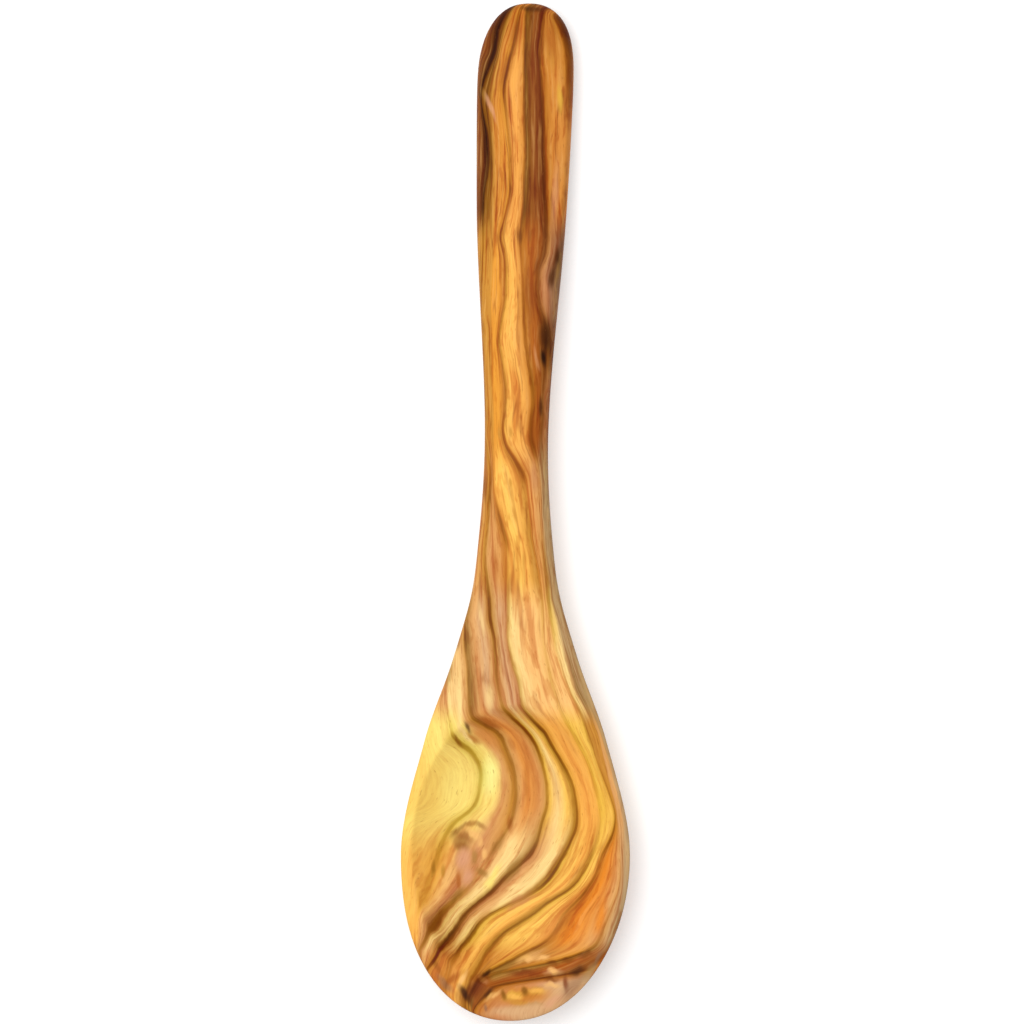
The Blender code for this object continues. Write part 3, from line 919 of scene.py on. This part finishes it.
# %% Make streaks, flecks, thin lines, fibres and pores
FLECK_LIMITS = (0.54, 0.66)  # noise values over which a fleck, a line or a pore comes in
LINE_LIMITS = (0.45, 0.6)
PORE_LIMITS = (0.66, 0.76)
THIN = 0.05  # how far from its middle value the noise still shows as a line
FLECK_START = 31.0  # other places of the same noise, so that the patterns differ
LINE_START = 7.0
BREAK_START = 19.0

feed(fibres, told["Streaks"], noise(fibres, along_grain(STREAK_WIDTH, STREAK_REACH), 1.0, detail=3.0))
fleck_noise = noise(fibres, along_grain(FLECK_WIDTH, FLECK_REACH, FLECK_START), 1.0, detail=2.0)
feed(fibres, told["Flecks"], fade(fibres, fleck_noise, *FLECK_LIMITS))
line_noise = noise(fibres, along_grain(LINE_SPACING, LINE_REACH, LINE_START), 1.0, detail=2.0)
line_away = maths(fibres, "ABSOLUTE", maths(fibres, "SUBTRACT", line_noise, 0.5))
line_breaks = noise(fibres, along_grain(LINE_SPACING, LINE_REACH / 3, BREAK_START), 1.0, detail=1.0)
line_core = fade(fibres, line_away, 0.0, THIN, 1.0, 0.0)
line_here = fade(fibres, line_breaks, *LINE_LIMITS)
feed(fibres, told["Lines"], maths(fibres, "MULTIPLY", line_core, line_here))
fibre_noise = noise(fibres, along_grain(FIBRE_WIDTH, FIBRE_REACH), 1.0, detail=3.0, roughness=0.6)
feed(fibres, told["Fibres"], fibre_noise)
pore_noise = noise(fibres, along_grain(PORE_WIDTH, PORE_REACH), 1.0, detail=1.0)
feed(fibres, told["Pores"], fade(fibres, pore_noise, *PORE_LIMITS))
print("fibre group has", len(fibres.nodes), "nodes")

# %% [markdown]
# ## Flames and flecks
#
# Knots, flecks and flames of colour are drawn one by one too, and so are a few grey-brown patches of
# painted shade on the tip's right edge, a pale patch of painted light on the hollow's left wall and a few
# painted highlights where the rims catch the light. Each is a soft lens between two points of the
# photograph. The group measures the place from the lens's centre with three rulers, one along the lens, one
# across it and one down into the wood, and each reads 1 at the lens's edge. So the lens becomes a ball of
# size one, and its tone fades in from the ball's edge. It reaches a few millimetres into the wood, and the
# ragged place keeps its edge from looking drawn with a compass. A flame is written as its tone, its
# strength, its half width in pixels and its two ends as (row, column).

# %% Build the flame group
FLAME_DEPTH = 0.006
FLAME_CORE = 0.2  # a flame has its full tone up to here, with 1 at its edge
FLAME_EDGE = 1.1  # and is gone here

flame, given, told = new_group(
    "wood_flame",
    {
        "Wood": "Color", "Place": "Vector", "Centre": "Vector", "Ruler Along": "Vector",
        "Ruler Across": "Vector", "Tone": "Color", "Strength": "Float",
    },
    {"Wood": "Color"},
)
offset = vector_maths(flame, "SUBTRACT", given["Place"], given["Centre"]).outputs[0]
rulers = (given["Ruler Along"], given["Ruler Across"], (0.0, 0.0, 1.0 / FLAME_DEPTH))
readings = [vector_maths(flame, "DOT_PRODUCT", offset, ruler).outputs["Value"] for ruler in rulers]
measured = put(flame, "ShaderNodeCombineXYZ")
for socket, reading in zip(measured.inputs, readings):
    feed(flame, socket, reading)
radius = vector_maths(flame, "LENGTH", measured.outputs[0]).outputs["Value"]
cover = fade(flame, radius, FLAME_CORE, FLAME_EDGE, 1.0, 0.0)
cover = maths(flame, "MULTIPLY", cover, given["Strength"])
feed(flame, told["Wood"], mix_tones(flame, cover, given["Wood"], given["Tone"]))
print("flame group has", len(flame.nodes), "nodes")

# %% Draw the flames of the handle and neck
HANDLE_FLAMES = [
    ("umber", 0.75, 5.0, (8, 522), (9, 543)),
    ("ochre", 0.7, 9.0, (22, 550), (70, 553)),
    ("rust", 0.75, 8.5, (20, 549), (56, 553)),
    ("moss", 0.6, 3.0, (86, 481), (101, 487)),
    ("blush", 0.6, 2.8, (90, 484), (122, 497)),
    ("rust", 0.65, 9.0, (16, 517), (46, 514)),
    ("rust", 0.7, 6.0, (56, 509), (86, 502)),
    ("amber", 0.8, 5.0, (62, 518), (100, 512)),
    ("gold", 0.7, 4.0, (82, 560), (116, 561)),
    ("blush", 0.4, 5.0, (156, 557), (236, 552)),
    ("rust", 0.7, 4.5, (228, 494), (246, 497)),
    ("brown", 0.7, 3.0, (230, 520), (245, 520)),
    ("brown", 0.7, 3.0, (228, 530), (244, 530)),
    ("brown", 0.5, 6.0, (258, 526), (334, 533)),
    ("umber", 0.9, 4.0, (247, 557), (266, 556)),
    ("umber", 0.85, 4.6, (265, 554), (286, 551)),
    ("rose", 0.8, 4.5, (264, 543), (318, 546)),
    ("umber", 0.9, 9.0, (320, 545), (352, 546)),
    ("ink", 0.95, 3.6, (352, 543), (366, 545)),
    ("rose", 0.7, 2.5, (348, 534), (372, 541)),
    ("umber", 0.85, 3.2, (396, 541), (418, 541)),
    ("rust", 0.95, 7.0, (410, 532), (460, 534)),
    ("rose", 0.6, 5.5, (460, 534), (492, 535)),
    ("ochre", 0.9, 2.4, (427, 499), (438, 500)),
    ("ochre", 0.9, 2.4, (427, 510), (438, 511)),
    ("ochre", 0.9, 2.2, (478, 510), (487, 511)),
    ("ochre", 0.8, 2.4, (505, 513), (521, 517)),
    ("rust", 0.5, 3.6, (547, 495), (580, 497)),
    ("ochre", 0.7, 2.4, (552, 525), (570, 525)),
    ("brown", 0.7, 3.0, (468, 485), (505, 486)),
    ("brown", 0.7, 3.0, (628, 460), (650, 457)),
    ("straw", 0.4, 4.4, (600, 551), (650, 557)),
    ("cream", 0.45, 3.4, (598, 479), (642, 484)),
    ("moss", 0.7, 4.0, (655, 452), (690, 447)),
    ("cream", 0.9, 4.0, (660, 459), (738, 460)),
    # A painted highlight where the upper end of the hollow's rim catches the light.
    ("cream", 0.6, 5.6, (684, 489), (710, 491)),
]
print("flames on the handle and neck:", len(HANDLE_FLAMES))

# %% Draw the flames of the hollow and the knot
HOLLOW_FLAMES = [
    ("terra", 0.9, 12.0, (727, 474), (746, 496)),
    ("rust", 0.85, 6.0, (717, 478), (728, 500)),
    ("rust", 0.7, 4.0, (733, 468), (744, 480)),
    ("umber", 0.8, 3.4, (724, 466), (732, 471)),
    ("rust", 0.6, 3.4, (734, 454), (746, 463)),
    ("cream", 0.8, 3.0, (722, 456), (748, 476)),
    # Pale sapwood with painted light: paler than the wood, to cancel the lamp's shade on the hollow's left
    # wall.
    ("pale", 0.9, 22.0, (768, 454), (812, 456)),
    ("lemon", 0.9, 13.0, (762, 489), (790, 489)),
    ("rust", 0.45, 3.6, (738, 510), (752, 514)),
    ("rust", 0.4, 4.0, (762, 527), (806, 527)),
    ("tan", 0.6, 3.6, (770, 519), (798, 519)),
    ("gold", 0.7, 6.0, (788, 600), (816, 604)),
    ("tan", 0.8, 13.0, (834, 464), (884, 464)),
    ("rose", 0.5, 12.0, (842, 464), (886, 466)),
    ("moss", 0.8, 3.8, (838, 450), (826, 463)),
    ("brown", 0.6, 3.8, (828, 462), (823, 474)),
    ("brown", 0.6, 3.8, (823, 474), (830, 486)),
    ("moss", 0.8, 10.0, (840, 457), (847, 463)),
    ("brown", 0.55, 6.0, (835, 459), (842, 471)),
    ("brown", 0.55, 5.4, (846, 458), (849, 464)),
    ("peach", 0.8, 4.6, (832, 469), (838, 479)),
    ("peach", 0.7, 3.6, (841, 481), (846, 479)),
    ("blush", 0.9, 10.0, (856, 464), (864, 462)),
    ("moss", 0.7, 4.4, (852, 475), (864, 474)),
    ("peach", 0.8, 3.4, (850, 484), (858, 484)),
    ("peach", 0.8, 4.0, (858, 455), (890, 441)),
    ("rust", 0.75, 3.4, (870, 458), (891, 458)),
    ("blush", 0.8, 7.0, (872, 468), (884, 467)),
    ("moss", 0.8, 5.4, (872, 478), (875, 485)),
    ("moss", 0.7, 5.0, (888, 462), (900, 452)),
    ("rust", 0.7, 3.4, (818, 510), (834, 510)),
    ("moss", 0.6, 5.4, (836, 504), (856, 491)),
    ("cream", 0.8, 5.4, (836, 516), (868, 502)),
    ("pale", 0.9, 5.0, (866, 501), (892, 483)),
    ("cream", 0.7, 4.4, (892, 482), (906, 460)),
    ("khaki", 0.7, 3.0, (862, 434), (876, 433)),
    ("khaki", 0.7, 3.0, (866, 444), (878, 443)),
]
print("flames in the hollow and on the knot:", len(HOLLOW_FLAMES))

# %% Draw the flames of the tip
TIP_FLAMES = [
    ("moss", 0.85, 7.0, (858, 523), (884, 506)),
    ("cream", 0.7, 3.6, (892, 506), (882, 534)),
    ("rose", 0.7, 7.0, (894, 534), (908, 508)),
    ("tan", 0.8, 7.0, (896, 502), (926, 472)),
    ("orange", 0.8, 7.0, (900, 604), (936, 596)),
    ("rust", 0.85, 5.6, (971, 461), (986, 443)),
    ("slate", 0.6, 5.0, (976, 438), (992, 452)),
    ("brown", 0.5, 4.0, (958, 433), (974, 441)),
    ("tan", 0.7, 4.0, (950, 545), (960, 516)),
    ("peach", 0.5, 4.0, (961, 514), (956, 547)),
    ("moss", 0.8, 5.0, (962, 512), (974, 492)),
    ("chestnut", 0.75, 5.4, (973, 508), (971, 545)),
    ("buff", 0.5, 4.4, (972, 545), (972, 562)),
    ("brown", 0.8, 3.6, (979, 546), (980, 558)),
    ("brown", 0.8, 12.0, (970, 490), (1000, 470)),
    ("brown", 0.75, 10.0, (988, 480), (995, 461)),
    ("rust", 0.7, 8.0, (980, 474), (984, 492)),
    ("chestnut", 0.8, 9.0, (978, 484), (996, 470)),
    ("peach", 0.8, 3.6, (970, 467), (988, 457)),
    ("umber", 0.85, 3.2, (970, 490), (977, 484)),
    ("umber", 0.75, 3.2, (990, 492), (997, 484)),
    ("rose", 0.6, 3.4, (978, 481), (983, 487)),
    # A painted highlight on the tip's rim.
    ("peach", 0.8, 3.4, (1000, 485), (990, 500)),
    ("peach", 0.7, 3.2, (960, 522), (959, 532)),
    ("peach", 0.8, 3.4, (960, 538), (958, 548)),
    ("peach", 0.8, 3.4, (970, 549), (971, 557)),
    ("peach", 0.7, 3.8, (984, 546), (986, 558)),
    ("brown", 0.8, 3.6, (963, 548), (965, 557)),
    ("brown", 0.85, 4.0, (961, 563), (960, 573)),
    ("brown", 0.85, 4.0, (956, 580), (953, 591)),
    ("ink", 0.85, 4.6, (988, 463), (997, 466)),
    ("umber", 0.6, 5.0, (984, 457), (1006, 475)),
    ("umber", 0.85, 5.6, (967, 582), (974, 573)),
    # Painted shade on the tip's right edge.
    ("slate", 0.7, 4.0, (952, 601), (968, 592)),
    ("chestnut", 0.85, 4.6, (977, 566), (990, 566)),
    # Painted shade on the tip's right edge.
    ("drift", 0.7, 6.0, (964, 594), (984, 580)),
    ("terra", 0.95, 14.0, (997, 502), (994, 546)),
    ("russet", 0.9, 12.0, (996, 504), (994, 542)),
    ("moss", 0.6, 3.4, (1007, 508), (1004, 546)),
    ("gold", 0.55, 5.6, (997, 506), (994, 520)),
    ("gold", 0.35, 5.6, (992, 528), (990, 545)),
    ("honey", 0.8, 3.4, (996, 509), (997, 521)),
    ("honey", 0.8, 3.4, (991, 530), (990, 542)),
    ("olive", 0.9, 4.0, (991, 502), (998, 505)),
    ("olive", 0.95, 4.2, (988, 523), (994, 526)),
    ("ochre", 0.8, 4.0, (1001, 508), (1003, 528)),
    # A painted highlight along the tip's rounded lower edge, where it catches the light.
    ("buff", 0.95, 7.4, (1013, 484), (1007, 552)),
    # Painted shade on the tip's lower right edge.
    ("slate", 0.6, 8.0, (976, 582), (998, 562)),
    ("blush", 0.6, 5.0, (996, 560), (1006, 544)),
    ("slate", 0.7, 2.6, (1004, 485), (1009, 486)),
]
print("flames at the tip:", len(TIP_FLAMES))

# %% [markdown]
# ## The olive wood
#
# Now the finish is put together from the broad to the fine: layer tones, dark and light streaks, flecks,
# thin lines, flames, dark veins, fibres and pores. Under each vein lies a yellow stain, because the resin
# of a vein seeps into the wood beside it and takes the blue out of its colour. The same fibres press a
# faint relief into the surface and make it a touch duller where they lie open, as oiled and fine-sanded
# wood is.


# %% Place the groups in the material
def group_node(tree, group, **values):
    """Places a group. The word Ruler_Along in a call stands for the socket Ruler Along."""
    node = put(tree, "ShaderNodeGroup")
    node.node_tree = group
    for name, value in values.items():
        feed(tree, node.inputs[name.replace("_", " ")], value)
    return node.outputs


def lay_flame(tree, colour, place, tone_name, strength, half_width, start, end):
    first, last = (Vector((across_at(column), along_at(row))) for row, column in (start, end))
    centre = (first + last) / 2
    along = (last - first).normalized()
    half = half_width * METRES_PER_PIXEL
    half_length = (last - first).length / 2 + half
    return group_node(
        tree,
        flame,
        Wood=colour,
        Place=place,
        Centre=(centre.x, centre.y, top_of_wood(*centre)),
        Ruler_Along=(along.x / half_length, along.y / half_length, 0.0),
        Ruler_Across=(-along.y / half, along.x / half, 0.0),
        Tone=TONES[tone_name],
        Strength=strength,
    )["Wood"]


tree = wood.node_tree
place = put(tree, "ShaderNodeTexCoord").outputs["Object"]
where = group_node(tree, grain, Place=place)
layered = group_node(tree, tones, Ring=where["Ring"], Along=where["Along"])
colour = layered["Tone"]
fine = group_node(tree, fibres, Billet=where["Billet"])
print("groups placed")

# %% Lay the streaks, flecks and thin lines
DARK_LIMITS = (0.48, 0.66)  # noise values over which the dark streaks come in
LIGHT_LIMITS = (0.46, 0.32)  # and the light ones, from the middle down
LIGHT_STREAKS = 0.35
FLECK_CONTRAST = 0.65
LINE_CONTRAST = 0.7

dark_streaks = fade(tree, fine["Streaks"], *DARK_LIMITS)
dark_streaks = maths(tree, "MULTIPLY", dark_streaks, layered["Streaks"])
colour = mix_tones(tree, dark_streaks, colour, TONES["russet"], "MULTIPLY")
light_streaks = fade(tree, fine["Streaks"], *LIGHT_LIMITS)
light_streaks = maths(tree, "MULTIPLY", light_streaks, layered["Streaks"])
light_streaks = maths(tree, "MULTIPLY", light_streaks, LIGHT_STREAKS)
colour = mix_tones(tree, light_streaks, colour, TONES["peach"])
flecks = maths(tree, "MULTIPLY", fine["Flecks"], layered["Streaks"])
flecks = maths(tree, "MULTIPLY", flecks, FLECK_CONTRAST)
colour = mix_tones(tree, flecks, colour, TONES["ochre"], "MULTIPLY")
thin_lines = maths(tree, "MULTIPLY", fine["Lines"], layered["Streaks"])
thin_lines = maths(tree, "MULTIPLY", thin_lines, LINE_CONTRAST)
colour = mix_tones(tree, thin_lines, colour, TONES["brown"], "MULTIPLY")
print("streaks, flecks and lines laid,", len(tree.nodes), "nodes so far")

# %% Lay the flames, the veins, the fibres and the pores
STAIN_STRENGTH = 1.1  # against the darkness of the vein
FIBRE_LIMITS = (0.3, 0.7)  # noise values over which the fibres open
FIBRE_CONTRAST = 0.16
PORE_CONTRAST = 0.35

for details in HANDLE_FLAMES + HOLLOW_FLAMES + TIP_FLAMES:
    colour = lay_flame(tree, colour, where["Drifted"], *details)
stained = maths(tree, "MULTIPLY", where["Vein"], STAIN_STRENGTH, clamp=True)
colour = mix_tones(tree, stained, colour, TONES["stain"], "MULTIPLY")
colour = mix_tones(tree, where["Vein"], colour, TONES["resin"], "MULTIPLY")
open_fibres = fade(tree, fine["Fibres"], *FIBRE_LIMITS)
fibre_cover = maths(tree, "MULTIPLY", open_fibres, FIBRE_CONTRAST)
colour = mix_tones(tree, fibre_cover, colour, TONES["rust"], "MULTIPLY")
pore_cover = maths(tree, "MULTIPLY", fine["Pores"], PORE_CONTRAST)
colour = mix_tones(tree, pore_cover, colour, TONES["brown"])

oiled_wood = tree.nodes["Principled BSDF"]
feed(tree, oiled_wood.inputs["Base Color"], colour)
print("material has", len(tree.nodes), "nodes")

# %% Oil and sand the surface
SHEEN = 0.08
SHEEN_ROUGHNESS = 0.40
OPEN_ROUGHNESS = 0.55
RELIEF = 0.00012
RELIEF_STRENGTH = 0.35
FIBRE_RELIEF = -0.6  # the fibres lie lower, and the pores lower still

oiled_wood.inputs["Specular IOR Level"].default_value = SHEEN
rough = fade(tree, fine["Fibres"], *FIBRE_LIMITS, SHEEN_ROUGHNESS, OPEN_ROUGHNESS)
feed(tree, oiled_wood.inputs["Roughness"], rough)
relief = put(tree, "ShaderNodeBump")
relief.inputs["Strength"].default_value = RELIEF_STRENGTH
relief.inputs["Distance"].default_value = RELIEF
ridges = maths(tree, "MULTIPLY", fine["Fibres"], FIBRE_RELIEF)
ridges = maths(tree, "SUBTRACT", ridges, fine["Pores"])
feed(tree, relief.inputs["Height"], ridges)
feed(tree, oiled_wood.inputs["Normal"], relief.outputs[0])
print("relief", RELIEF, "m")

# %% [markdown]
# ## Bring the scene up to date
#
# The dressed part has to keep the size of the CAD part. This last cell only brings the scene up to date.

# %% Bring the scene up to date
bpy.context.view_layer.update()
